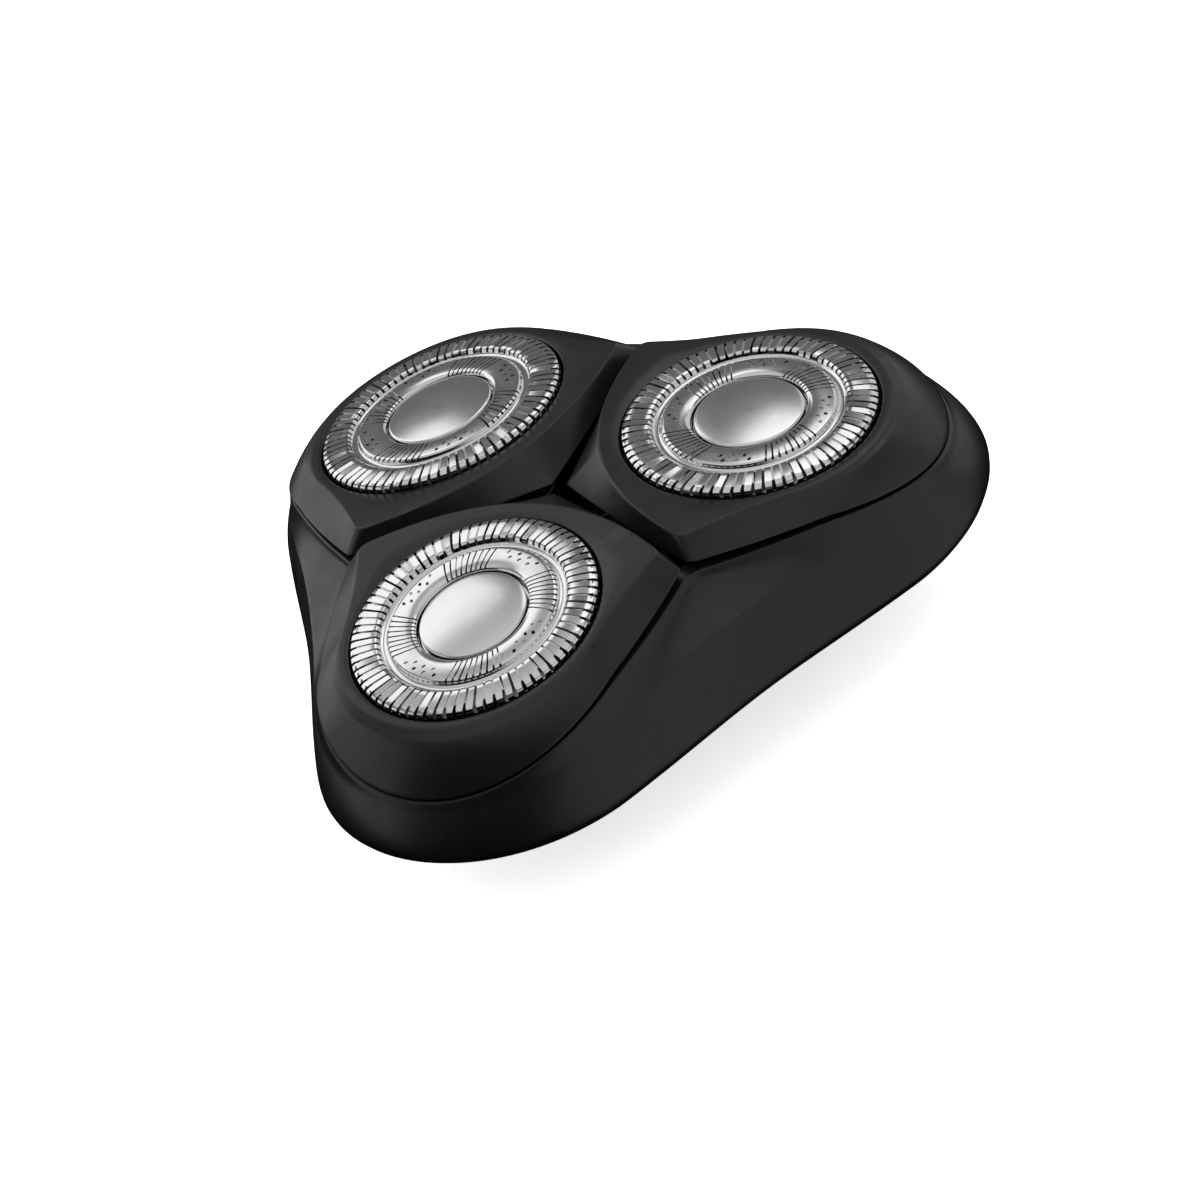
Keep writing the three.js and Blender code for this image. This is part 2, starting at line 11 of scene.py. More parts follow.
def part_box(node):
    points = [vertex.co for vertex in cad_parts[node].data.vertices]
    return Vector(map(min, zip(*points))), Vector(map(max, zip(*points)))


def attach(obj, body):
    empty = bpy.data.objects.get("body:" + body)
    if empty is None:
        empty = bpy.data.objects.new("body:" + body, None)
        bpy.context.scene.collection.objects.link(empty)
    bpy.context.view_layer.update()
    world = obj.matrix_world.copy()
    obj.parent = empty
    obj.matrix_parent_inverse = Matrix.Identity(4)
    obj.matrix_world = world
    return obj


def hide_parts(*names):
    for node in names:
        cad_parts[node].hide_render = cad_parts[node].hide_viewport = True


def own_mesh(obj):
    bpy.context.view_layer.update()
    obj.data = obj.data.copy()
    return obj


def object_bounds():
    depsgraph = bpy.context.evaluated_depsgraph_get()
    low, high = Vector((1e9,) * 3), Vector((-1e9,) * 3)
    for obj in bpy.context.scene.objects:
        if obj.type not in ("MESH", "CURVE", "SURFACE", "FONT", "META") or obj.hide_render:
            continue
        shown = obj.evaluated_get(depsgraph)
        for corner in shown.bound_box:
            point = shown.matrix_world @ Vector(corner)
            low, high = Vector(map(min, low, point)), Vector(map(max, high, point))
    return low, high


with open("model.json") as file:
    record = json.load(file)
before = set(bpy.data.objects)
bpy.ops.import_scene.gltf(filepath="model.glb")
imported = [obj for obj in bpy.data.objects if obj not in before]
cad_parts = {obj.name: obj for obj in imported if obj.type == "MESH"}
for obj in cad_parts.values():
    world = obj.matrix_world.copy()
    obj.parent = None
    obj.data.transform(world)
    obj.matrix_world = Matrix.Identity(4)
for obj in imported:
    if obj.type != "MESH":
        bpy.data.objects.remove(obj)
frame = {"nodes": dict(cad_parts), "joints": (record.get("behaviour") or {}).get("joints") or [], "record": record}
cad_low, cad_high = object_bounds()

MM = 0.001
SIDES = ("front", "right", "left")
JOINTS = {joint["name"]: joint for joint in frame["joints"]}

# ------------------------------------------------------------------ dimensions, in mm
CAP_R = 11.5
PETAL_HOLE_R = 11.8
PETAL_TOP = -0.35
PETAL_SKIN = 1.25
PETAL_ROUNDNESS = 0.5
CREST = dict(tip=-13.6, wedge=0, corner=(-8.1, 15.2), fillet=1.0, bow=-0.4, end_x=0, end_r=12.8)
SEAM = dict(tip=-17.2, wedge=0.85, corner=(-7.9, 16.8), fillet=0.6, bow=0.3, end_x=2.3, end_r=14.8)
CAVITY_TOP = dict(tip=-12.8, wedge=0, corner=(-6.6, 13.9), fillet=1, bow=0, end_x=0, end_r=12.9)
SKIRT = dict(tip=-12.6, wedge=0, corner=(-6.6, 14.2), fillet=1, bow=0, end_x=2.0, end_r=12.9)
SKIRT_DROP = 1.25
SKIRT_INNER = 0.97
SKIRT_LEAST_Z = -3.0
LIP_INNER = 0.94
HINGE_X = 10.6
SLIT_AT_HINGE = 0.3
SLIT_PER_MM = 0.036

BELLY_Z = 10.6
BELLY_CENTRE = 19.1
BELLY_ROUND = 17.8
WAIST_INSET = 0.65
LOBE_FLARE = 1.6
CREASE_RISE = 0.7
CREASE_FLARE = 0.33
SOFT_ANGLE = 8.0
RIM_SOFT_ANGLE = 2.0
SOFT_GRID = 720
TURN_Z = 8.0
TURN_INSET = 7.4
UNDERSIDE_Z = 5.0
UNDERSIDE_INSET = 9.5
UNDERSIDE_LEAST_R = 18.2
FLOOR_TOP = 6.5
WALL = 1.6

# points along half a petal's outline: inner edge, corner, side, outer end
INNER_STEPS = 30
FILLET_STEPS = 8
SIDE_STEPS = 20
END_STEPS = 36


# ------------------------------------------------------------------ frame places
def head_matrix(side):
    """The head's frame: x away from the drive axis, z along the cap's axis."""
    joint = JOINTS[f"cutter_spin_{side}"]
    centre = Vector(joint["pos_m"])
    up = Vector(joint["axis"]).normalized()
    across = up.cross(Vector((centre.x, centre.y, 0))).normalized()
    out = across.cross(up)
    rows = Matrix((out, across, up)).transposed().to_4x4()
    return Matrix.Translation(centre) @ rows


HEADS = {side: head_matrix(side) for side in SIDES}


# ------------------------------------------------------------------ mesh helpers
def new_mesh(name, vertices, faces, smooth_angle=None):
    """A mesh from points in mm."""
    mesh = bpy.data.meshes.new(name)
    mesh.from_pydata([tuple(v) for v in np.asarray(vertices) * MM], [], faces)
    mesh.validate()
    mesh.shade_smooth()
    if smooth_angle:
        mesh.set_sharp_from_angle(angle=math.radians(smooth_angle))
    mesh.update()
    return mesh


def place(name, mesh, material, body, nodes, matrix=None):
    """Puts a mesh in the scene as a piece that rides on a body and stands for CAD nodes."""
    piece = bpy.data.objects.new(name, mesh)
    bpy.context.collection.objects.link(piece)
    if not mesh.materials:
        mesh.materials.append(material)
    if matrix is not None:
        piece.matrix_world = matrix
    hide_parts(*nodes)
    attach(piece, body)
    return piece


def skin(rings, closed=True):
    """Rings of the same number of points, joined in order; closed joins the last to the first."""
    count = len(rings[0])
    points = np.vstack(rings)
    faces = []
    pairs = len(rings) if closed else len(rings) - 1
    for level in range(pairs):
        low = level * count
        high = ((level + 1) % len(rings)) * count
        for i in range(count):
            j = (i + 1) % count
            faces.append((low + i, low + j, high + j, high + i))
    return points, faces


def rounded(before, corner, after, reach_before, reach_after, steps):
    """Rings that round off the edge at each point of the ring named corner."""
    back = before - corner
    ahead = after - corner
    back_length = np.linalg.norm(back, axis=1, keepdims=True)
    ahead_length = np.linalg.norm(ahead, axis=1, keepdims=True)
    start = corner + back * np.minimum(reach_before / back_length, 0.5)
    end = corner + ahead * np.minimum(reach_after / ahead_length, 0.5)
    rings = []
    for t in np.linspace(0, 1, steps + 1):
        rings.append(start * (1 - t) ** 2 + corner * 2 * t * (1 - t) + end * t**2)
    return rings


def lathe(profile, sides=128):
    """A closed profile of (radius, z) turned about z. Radii must be above zero."""
    turn = np.linspace(0, 2 * np.pi, sides, endpoint=False)
    rings = []
    for radius, z in profile:
        ring = np.column_stack([radius * np.cos(turn), radius * np.sin(turn), np.full(sides, z)])
        rings.append(ring)
    return skin(rings)


def disc_lathe(profile, sides=96):
    """A profile of (radius, z) that starts and ends on the axis, turned into a solid."""
    turn = np.linspace(0, 2 * np.pi, sides, endpoint=False)
    inside = profile[1:-1]
    points = [(0, 0, profile[0][1])]
    for radius, z in inside:
        points += [(radius * math.cos(a), radius * math.sin(a), z) for a in turn]
    points.append((0, 0, profile[-1][1]))
    faces = [(0, 1 + (i + 1) % sides, 1 + i) for i in range(sides)]
    for level in range(len(inside) - 1):
        low = 1 + level * sides
        for i in range(sides):
            j = (i + 1) % sides
            faces.append((low + i, low + j, low + sides + j, low + sides + i))
    last = 1 + (len(inside) - 1) * sides
    top = len(points) - 1
    faces += [(last + i, last + (i + 1) % sides, top) for i in range(sides)]
    return points, faces


def fillet_profile(profile, radius, steps=4, closed=True):
    """Rounds each corner of a (radius, z) profile."""
    count = len(profile)
    out = []
    for i, point in enumerate(profile):
        if not closed and i in (0, count - 1):
            out.append(point)
            continue
        here = np.array(point, float)
        back = np.array(profile[i - 1], float) - here
        ahead = np.array(profile[(i + 1) % count], float) - here
        cut = min(radius, 0.45 * np.linalg.norm(back), 0.45 * np.linalg.norm(ahead))
        start = here + back / np.linalg.norm(back) * cut
        end = here + ahead / np.linalg.norm(ahead) * cut
        for t in np.linspace(0, 1, steps + 1):
            out.append(tuple(start * (1 - t) ** 2 + here * 2 * t * (1 - t) + end * t**2))
    return out


def joined(pieces):
    """Several (points, faces) pairs as one pair."""
    points, faces = [], []
    for piece_points, piece_faces in pieces:
        start = len(points)
        points += [tuple(p) for p in piece_points]
        faces += [tuple(start + i for i in face) for face in piece_faces]
    return points, faces


def solid_from(name, points, faces):
    """A temporary object used to cut or join, in mm."""
    mesh = new_mesh(name, points, faces)
    cutter = bpy.data.objects.new(name, mesh)
    bpy.context.collection.objects.link(cutter)
    return cutter


def cut(mesh, tools, operation="DIFFERENCE"):
    """The mesh with each tool cut from it or joined to it. The tools are used up."""
    work = bpy.data.objects.new("work", mesh)
    bpy.context.collection.objects.link(work)
    for tool in tools:
        modifier = work.modifiers.new("cut", "BOOLEAN")
        modifier.operation = operation
        modifier.solver = "EXACT"
        modifier.object = tool
    bpy.context.view_layer.update()
    evaluated = work.evaluated_get(bpy.context.evaluated_depsgraph_get())
    result = bpy.data.meshes.new_from_object(evaluated)
    bpy.data.objects.remove(work)
    for tool in tools:
        bpy.data.objects.remove(tool)
    return result


def round_bar(radius, low, high, x=0.0, y=0.0, sides=48):
    """Points and faces of a round bar along z, in mm."""
    points, faces = disc_lathe([(0, low), (radius, low), (radius, high), (0, high)], sides)
    return np.array(points) + np.array((x, y, 0)), faces


def block(size, centre, turn=0.0):
    """Points and faces of a block, turned about the z axis through the origin, in mm."""
    signs = np.array([(x, y, z) for z in (-1, 1) for y in (-1, 1) for x in (-1, 1)])
    points = signs * np.array(size) / 2 + np.array(centre)
    c, s = math.cos(turn), math.sin(turn)
    points = points @ np.array([[c, s, 0], [-s, c, 0], [0, 0, 1]])
    faces = [(0, 2, 3, 1), (4, 5, 7, 6), (0, 1, 5, 4), (2, 6, 7, 3), (0, 4, 6, 2), (1, 3, 7, 5)]
    return points, faces


# ------------------------------------------------------------------ materials
class Nodes:
    """A small wrapper that builds a material's nodes. Noise scales are in cycles per metre."""

    def __init__(self, name):
        self.material = bpy.data.materials.new(name)
        self.material.use_nodes = True
        self.tree = self.material.node_tree
        self.shader = self.tree.nodes["Principled BSDF"]
        self.place = self.add("ShaderNodeTexCoord").outputs["Object"]

    def add(self, kind, **settings):
        node = self.tree.nodes.new(kind)
        for key, value in settings.items():
            setattr(node, key, value)
        return node

    def link(self, source, target):
        self.tree.links.new(source, target)

    def noise(self, scale, detail=3.0, vector=None, roughness=0.5):
        node = self.add("ShaderNodeTexNoise")
        node.inputs["Scale"].default_value = scale
        node.inputs["Detail"].default_value = detail
        node.inputs["Roughness"].default_value = roughness
        self.link(vector if vector is not None else self.place, node.inputs["Vector"])
        return node.outputs["Fac"]

    def spread(self, source, low, high, start=0.3, end=0.7):
        """Maps a value between start and end to low and high."""
        node = self.add("ShaderNodeMapRange")
        node.inputs["From Min"].default_value = start
        node.inputs["From Max"].default_value = end
        node.inputs["To Min"].default_value = low
        node.inputs["To Max"].default_value = high
        self.link(source, node.inputs["Value"])
        return node.outputs["Result"]

    def blend_colors(self, factor, first, second):
        node = self.add("ShaderNodeMix", data_type="RGBA")
        node.inputs["A"].default_value = (*first, 1)
        node.inputs["B"].default_value = (*second, 1)
        self.link(factor, node.inputs["Factor"])
        return node.outputs["Result"]

    def math(self, operation, first, second=None):
        node = self.add("ShaderNodeMath", operation=operation)
        for socket, value in zip(node.inputs, (first, second)):
            if value is None:
                continue
            if isinstance(value, (int, float)):
                socket.default_value = value
            else:
                self.link(value, socket)
        return node.outputs[0]

    def bump(self, height, strength, depth, normal=None):
        node = self.add("ShaderNodeBump")
        node.inputs["Strength"].default_value = strength
        node.inputs["Distance"].default_value = depth
        self.link(height, node.inputs["Height"])
        if normal is not None:
            self.link(normal, node.inputs["Normal"])
        return node.outputs["Normal"]

    def edges(self, low=0.505, high=0.56):
        """Where the surface's edges stand out, from 0 to 1."""
        return self.spread(self.add("ShaderNodeNewGeometry").outputs["Pointiness"], 0, 1, low, high)

    def rings_about_axis(self, per_mm):
        """Fine turning marks: noise that changes with the distance from the z axis."""
        parts = self.add("ShaderNodeSeparateXYZ")
        self.link(self.place, parts.inputs[0])
        x, y, z = parts.outputs
        square = self.math("ADD", self.math("MULTIPLY", x, x), self.math("MULTIPLY", y, y))
        distance = self.math("MULTIPLY", self.math("SQRT", square), per_mm / MM)
        around = self.math("MULTIPLY", self.math("ARCTAN2", y, x), 0.6)
        joined = self.add("ShaderNodeCombineXYZ")
        self.link(distance, joined.inputs[0])
        self.link(around, joined.inputs[1])
        self.link(z, joined.inputs[2])
        return self.noise(1.0, 2.0, joined.outputs[0])


def moulded_plastic(name, dark, light, rough_level, specular, grain):
    """Moulded plastic: fine spark grain, slow gloss changes and slightly rubbed edges."""
    n = Nodes(name)
    slow = n.noise(90.0, 4.0)
    fine = n.noise(5200.0, 2.0)
    smudge = n.noise(320.0, 5.0, roughness=0.65)
    edge = n.edges()
    tone = n.blend_colors(n.spread(slow, 0, 1), dark, light)
    worn = n.add("ShaderNodeMix", data_type="RGBA")
    n.link(n.math("MULTIPLY", edge, 0.35), worn.inputs["Factor"])
    n.link(tone, worn.inputs["A"])
    worn.inputs["B"].default_value = (*[min(1.0, 1.8 * c + 0.004) for c in light], 1)
    n.link(worn.outputs["Result"], n.shader.inputs["Base Color"])
    rough = n.spread(smudge, rough_level - 0.05, rough_level + 0.05)
    rough = n.math("SUBTRACT", rough, n.math("MULTIPLY", edge, 0.06))
    rough = n.math("ADD", rough, n.spread(fine, -0.015, 0.015))
    n.link(rough, n.shader.inputs["Roughness"])
    waves = n.bump(slow, 0.12, 0.00004)
    n.link(n.bump(fine, grain, 0.000006, waves), n.shader.inputs["Normal"])
    n.shader.inputs["Specular IOR Level"].default_value = specular
    n.shader.inputs["IOR"].default_value = 1.5
    return n.material


def turned_steel(name, tone, least_rough, most_rough, marks, depth, smears):
    """Steel with fine marks round its axis, faint smears and brighter edges."""
    n = Nodes(name)
    turning = n.rings_about_axis(marks)
    smear = n.noise(260.0, 3.0, roughness=0.5)
    edge = n.edges()
    darker = tuple(c * (1 - smears) for c in tone)
    color = n.blend_colors(n.spread(smear, 0, 1, 0.35, 0.65), darker, tone)
    n.link(color, n.shader.inputs["Base Color"])
    rough = n.spread(smear, least_rough, most_rough)
    rough = n.math("ADD", rough, n.spread(turning, -0.03, 0.03))
    rough = n.math("SUBTRACT", rough, n.math("MULTIPLY", edge, 0.03))
    n.link(rough, n.shader.inputs["Roughness"])
    n.link(n.bump(turning, 0.5, depth), n.shader.inputs["Normal"])
    n.shader.inputs["Metallic"].default_value = 1.0
    return n.material


def seal_rubber(name):
    """Dull soft rubber with a little dust."""
    n = Nodes(name)
    dust = n.noise(1400.0, 5.0, roughness=0.7)
    color = n.blend_colors(n.spread(dust, 0, 1), (0.008, 0.008, 0.008), (0.02, 0.02, 0.019))
    n.link(color, n.shader.inputs["Base Color"])
    n.link(n.spread(dust, 0.6, 0.8), n.shader.inputs["Roughness"])
    n.link(n.bump(n.noise(6000.0, 3.0), 0.5, 0.00001), n.shader.inputs["Normal"])
    return n.material


def floor_paper(name):
    """Plain pale paper on a light table: a faint tooth and a soft glow that thins the shadow."""
    n = Nodes(name)
    tooth = n.noise(900.0, 4.0)
    color = n.blend_colors(n.spread(tooth, 0, 1), (0.9, 0.9, 0.9), (0.93, 0.93, 0.93))
    n.link(color, n.shader.inputs["Base Color"])
    n.link(n.spread(tooth, 0.75, 0.9), n.shader.inputs["Roughness"])
    n.link(n.bump(tooth, 0.2, 0.00005), n.shader.inputs["Normal"])
    n.shader.inputs["Emission Color"].default_value = (1, 1, 1, 1)
    n.shader.inputs["Emission Strength"].default_value = 0.7
    return n.material


# dark and light tone, roughness, specular level, grain
PLASTICS = {
    "black_plastic": ((0.0035, 0.0035, 0.0036), (0.005, 0.005, 0.0052), 0.33, 0.5, 0.3),
    "inner_plastic": ((0.008, 0.008, 0.0085), (0.012, 0.012, 0.0125), 0.6, 0.25, 0.8),
    "pale_plastic": ((0.66, 0.64, 0.58), (0.74, 0.72, 0.66), 0.5, 0.4, 0.6),
}
# tone, least and most roughness, turning marks per mm, their depth in m, smears
STEELS = {
    "cap_steel": ((0.84, 0.845, 0.85), 0.14, 0.18, 14.0, 0.0000004, 0.05),
    "disc_steel": ((0.86, 0.865, 0.87), 0.2, 0.22, 26.0, 0.00000012, 0.03),
    "ground_steel": ((0.72, 0.72, 0.73), 0.3, 0.38, 30.0, 0.000001, 0.1),
    "plain_steel": ((0.55, 0.56, 0.57), 0.25, 0.36, 8.0, 0.000006, 0.1),
    # the springs' near-black tone is painted shade: plain steel springs made dark because they sit in the dark gap
    # under the petals
    "spring_steel_painted_shade": ((0.1, 0.1, 0.105), 0.4, 0.5, 8.0, 0.000004, 0.1),
}
BLACK, INNER, PALE = (moulded_plastic(name, *look) for name, look in PLASTICS.items())
CAP_STEEL, DISC_STEEL, GROUND_STEEL, PLAIN_STEEL, SHADED_SPRING_STEEL = (
    turned_steel(name, *look) for name, look in STEELS.items()
)
RUBBER = seal_rubber("seal_rubber")

SLOT_LOOKS = {
    "black_plastic": BLACK,
    "inner_plastic": INNER,
    "pale_plastic": PALE,
    "rubber": RUBBER,
    "polished_steel": CAP_STEEL,
    "steel": PLAIN_STEEL,
}


def dress_cad_nodes():
    """Gives each CAD node the procedural material of its slot."""
    slots = {part["node"]: part["material_slot"] for part in frame["record"]["subparts"]}
    for name, node in frame["nodes"].items():
        for material_slot in node.material_slots:
            material_slot.material = SLOT_LOOKS[slots[name]]


# ------------------------------------------------------------------ petal outlines
def bent(start, control, end, t):
    """Points on a curve from start to end that is pulled toward control."""
    t = np.asarray(t, float)[:, None]
    return start * (1 - t) ** 2 + control * 2 * t * (1 - t) + end * t**2


def half_outline(tip, wedge, corner, fillet, bow, end_x, end_r):
    """Half of a petal's outline, from its tip near the drive axis to its outer end."""
    start = np.array((tip, 0.0))
    knee = np.array(corner, float)
    middle = (start + knee) / 2
    control = np.array((tip, knee[1] / 2)) * (1 - wedge) + middle * wedge
    reach = math.hypot(knee[0] - end_x, knee[1])
    touch = math.atan2(knee[1], knee[0] - end_x) - math.acos(end_r / reach)
    tangent = np.array((end_x + end_r * math.cos(touch), end_r * math.sin(touch)))
    along = tangent - knee
    length = np.linalg.norm(along)
    outward = np.array((-along[1], along[0])) / length
    bulge = (knee + tangent) / 2 + outward * 2 * bow
    cut_inner = 1 - fillet / np.linalg.norm(knee - start)
    cut_side = fillet / length
    inner = bent(start, control, knee, cut_inner * np.arange(INNER_STEPS) / INNER_STEPS)
    before = bent(start, control, knee, [cut_inner])[0]
    after = bent(knee, bulge, tangent, [cut_side])[0]
    round_off = bent(before, knee, after, np.arange(FILLET_STEPS) / FILLET_STEPS)
    shares = cut_side + (1 - cut_side) * np.arange(SIDE_STEPS) / SIDE_STEPS
    side = bent(knee, bulge, tangent, shares)
    angles = touch * (1 - np.arange(END_STEPS + 1) / END_STEPS)
    end = np.column_stack([end_x + end_r * np.cos(angles), end_r * np.sin(angles)])
    return np.vstack([inner, round_off, side, end])


def outline(spec):
    """The whole outline, counter-clockwise from the tip."""
    half = half_outline(**spec)
    mirrored = half[:-1] * np.array((1, -1))
    return np.vstack([mirrored, half[1:][::-1]])


def seam_height(x):
    """Height of the petal's lower edge in the head's frame: it falls toward both ends."""
    outer = np.maximum(0, (x - 3) / 14)
    return -2.2 - 2.4 * outer**2 - 0.09 * np.maximum(0, -8 - x)


def slit(x):
    """Height of the slit under the petal, which widens away from the hinge to let it tilt."""
    return SLIT_AT_HINGE + SLIT_PER_MM * np.maximum(0, HINGE_X - x)


def smoothstep(value, low, high):
    """From 0 at low to 1 at high, level at both ends."""
    t = np.clip((value - low) / (high - low), 0, 1)
    return t * t * (3 - 2 * t)


def at_height(points, z):
    """Plan points given one height, or a height each."""
    return np.column_stack([points, np.broadcast_to(z, len(points))])


# ------------------------------------------------------------------ petals
def petal_slope(share):
    """The petal's skin at a share of the way from its flat top to its lower edge."""
    crest = outline(CREST)
    foot = outline(SEAM)
    plan = crest * (1 - share) + foot * share
    roundness = 1 + PETAL_ROUNDNESS * smoothstep(plan[:, 0], 2, 12)
    drop = (PETAL_TOP - seam_height(foot[:, 0])) * share**roundness
    return at_height(plan, PETAL_TOP - drop)


def petal_mesh():
    """A hollow petal with a thin skirt inside it, which overlaps the housing's rim."""
    crest = outline(CREST)
    foot = outline(SEAM)
    around = np.arctan2(crest[:, 1], crest[:, 0])
    circle = np.column_stack([np.cos(around), np.sin(around)])
    underside = PETAL_TOP - PETAL_SKIN
    rings = [
        at_height(circle * PETAL_HOLE_R, underside),
        at_height(circle * PETAL_HOLE_R, PETAL_TOP - 0.16),
        at_height(circle * (PETAL_HOLE_R + 0.04), PETAL_TOP - 0.05),
        at_height(circle * (PETAL_HOLE_R + 0.14), PETAL_TOP),
    ]
    edge = petal_slope(0)
    rings.append(rings[-1] * 0.6 + edge * 0.4)
    softness = 0.2 + 0.3 * smoothstep(edge[:, :1], 0, 8)
    rings += rounded(rings[-1], edge, petal_slope(0.35), softness, softness, 7)
    rings += [petal_slope(share) for share in np.linspace(0.2, 0.93, 14)]
    seam = seam_height(foot[:, 0])
    lip = at_height(foot * LIP_INNER, seam)
    rings += rounded(petal_slope(0.93), petal_slope(1), lip, 0.12, 0.2, 3)
    skirt = outline(SKIRT)
    rings += [at_height(skirt, seam), at_height(skirt, seam - SKIRT_DROP)]
    rings.append(at_height(skirt * SKIRT_INNER, seam - SKIRT_DROP))
    rings.append(at_height(skirt * SKIRT_INNER, np.maximum(seam + 0.1, SKIRT_LEAST_Z)))
    rings.append(at_height(outline(CAVITY_TOP), underside))
    points, faces = skin(rings[::-1])
    return new_mesh("petal", points, faces, 40)


# ------------------------------------------------------------------ housing
def waist_share(angle):
    """0 at the middle of a lobe and 1 at the waist between two lobes."""
    return smoothstep(np.abs(angle), math.radians(25), math.radians(60))


def belly_radius(angle):
    """Plan radius of the widest section: three rounds joined by slightly hollow sides."""
    folded = np.abs(angle)
    sixty = math.radians(60)
    touch = math.atan2(BELLY_ROUND * math.sin(sixty), BELLY_CENTRE + BELLY_ROUND / 2)
    side = (BELLY_CENTRE / 2 + BELLY_ROUND) / np.cos(sixty - folded)
    across = np.minimum(BELLY_CENTRE * np.sin(folded), BELLY_ROUND)
    lobe = BELLY_CENTRE * np.cos(folded) + np.sqrt(BELLY_ROUND**2 - across**2)
    return np.where(folded > touch, side, lobe) - WAIST_INSET * waist_share(angle)


def waist_flare(rise):
    """A steep wall up to a soft crease, and a hollow cove above it."""
    if rise < CREASE_RISE:
        return CREASE_FLARE * (rise / CREASE_RISE) ** 1.6
    above = (rise - CREASE_RISE) / (1 - CREASE_RISE)
    return CREASE_FLARE + (1 - CREASE_FLARE) * math.sin(above * math.pi / 2)


class Housing:
    """The housing's surface, as rings that run all the way round."""

    def __init__(self):
        foot = outline(SEAM)
        first = INNER_STEPS + FILLET_STEPS // 2
        used = foot[first : len(foot) - first + 1]
        local = at_height(used, seam_height(used[:, 0]) - slit(used[:, 0]))
        rims, owns, lobes = [], [], []
        for side in SIDES:
            matrix = np.array(HEADS[side])
            world = local @ matrix[:3, :3].T + matrix[:3, 3] / MM
            lobe = math.atan2(matrix[1, 3], matrix[0, 3])
            angle = np.arctan2(world[:, 1], world[:, 0])
            own = (angle - lobe + np.pi) % (2 * np.pi) - np.pi
            rims.append(world)
            owns.append(own)
            lobes.append(np.full(len(own), lobe))
        rim = np.vstack(rims)
        self.own = np.concatenate(owns)
        self.angle = self.own + np.concatenate(lobes)
        self.belly = belly_radius(self.own)
        self.share = waist_share(self.own)
        radius = np.hypot(rim[:, 0], rim[:, 1])
        self.rim_r = self.softened(radius, RIM_SOFT_ANGLE)
        self.rim_z = self.softened(rim[:, 2], RIM_SOFT_ANGLE)
        self.soft_r = self.softened(radius, SOFT_ANGLE)
        self.soft_z = self.softened(rim[:, 2], SOFT_ANGLE)

    def softened(self, values, spread):
        """The values smoothed round the housing over spread degrees, so that corners fade."""
        order = np.argsort(self.angle % (2 * np.pi))
        grid = np.radians(np.arange(SOFT_GRID) * 360 / SOFT_GRID)
        known = self.angle[order] % (2 * np.pi)
        even = np.interp(grid, known, values[order], period=2 * np.pi)
        offset = np.minimum(grid, 2 * np.pi - grid)
        kernel = np.exp(-0.5 * (offset / math.radians(spread)) ** 2)
        wave = np.fft.rfft(even) * np.fft.rfft(kernel / kernel.sum())
        return np.interp(self.angle, grid, np.fft.irfft(wave, SOFT_GRID), period=2 * np.pi)

    def ring(self, radius, z):
        """A ring of points with a radius and a height for each angle."""
        return np.column_stack([radius * np.cos(self.angle), radius * np.sin(self.angle), z])

    def side(self, rise, inset=0.0):
        """From the rim (rise 1) through the belly (0) to the lower turn (-1)."""
        if rise > 0:
            flare = rise**LOBE_FLARE * (1 - self.share) + waist_flare(rise) * self.share
            own = smoothstep(rise, 0.72, 1.0)
            rim_r = self.soft_r + (self.rim_r - self.soft_r) * own
            rim_z = self.soft_z + (self.rim_z - self.soft_z) * own
            radius = self.belly - (self.belly - rim_r) * flare
            z = BELLY_Z + (rim_z - BELLY_Z) * rise
        else:
            radius = self.belly - TURN_INSET * (1 - math.sqrt(1 - rise**2))
            z = np.full(len(self.angle), BELLY_Z + (BELLY_Z - TURN_Z) * rise)
        return self.ring(radius - inset, z)

    def underside(self, inset, z):
        """A level ring near the edge of the flat underside."""
        radius = np.maximum(self.belly - UNDERSIDE_INSET, UNDERSIDE_LEAST_R) - inset
        return self.ring(radius, np.full(len(radius), z))

    def circle(self, radius, z):
        count = len(self.angle)
        return self.ring(np.full(count, radius), np.full(count, z))


def housing_mesh():
    """The hollow housing: out along the underside, up to the rim and back down inside."""
    shell = Housing()
    rings = [shell.circle(6, FLOOR_TOP), shell.circle(6, UNDERSIDE_Z)]
    rings += [shell.underside(1.5, UNDERSIDE_Z)]
    flat = shell.underside(0, UNDERSIDE_Z)
    turn = shell.side(-1)
    rings += rounded(rings[-1], flat, turn, 0.8, 0.8, 4)
    rings += rounded(flat, turn, shell.side(-0.95), 1.2, 0.5, 4)
    rings += [shell.side(rise) for rise in (-0.9, -0.8, -0.68, -0.55, -0.42, -0.28, -0.14, 0)]
    rings += [shell.side(rise) for rise in np.linspace(0.07, 0.63, 9)]
    rings += [shell.side(rise) for rise in (0.665, 0.685, 0.7, 0.712, 0.73)]
    rings += [shell.side(rise) for rise in np.linspace(0.76, 0.96, 8)]
    lip = shell.side(1, 0.8)
    rings += rounded(shell.side(0.9), shell.side(1), lip, 0.16, 0.16, 3)
    rings.append(lip)
    rings += [shell.side(1, WALL)]
    rings += [shell.side(rise, WALL) for rise in (0.85, 0.7, 0.35, 0)]
    lower = shell.side(-1, 0.8)
    lower[:, 2] = TURN_Z + WALL
    rings += [lower, shell.underside(0.5, FLOOR_TOP)]
    points, faces = skin(rings)
    return new_mesh("housing", points, faces, 40)


# ------------------------------------------------------------------ guard caps
# a pitch is one slot and one bar; shares are of a pitch, lengths are in mm
CAP_PITCHES = 76
CAP_QUARTER = CAP_PITCHES // 4
GROUP_SLOTS = 9
SLOT_SHARE = 0.28
SLOT_END_SHARE = 0.37
PIN_SHARE = 0.62
PIN_ROWS = (6.42, 7.02)
PIN_FILL = 0.95
PIN_CORNERS = 8
FIRST_PIN = 10
LAST_PIN = 16
CAP_PHASE = 3.7
CAP_SKIN = 0.05
BEVEL_REACH = 0.16
BAR_TILT = 0.006
BAR_CROWN = 0.03

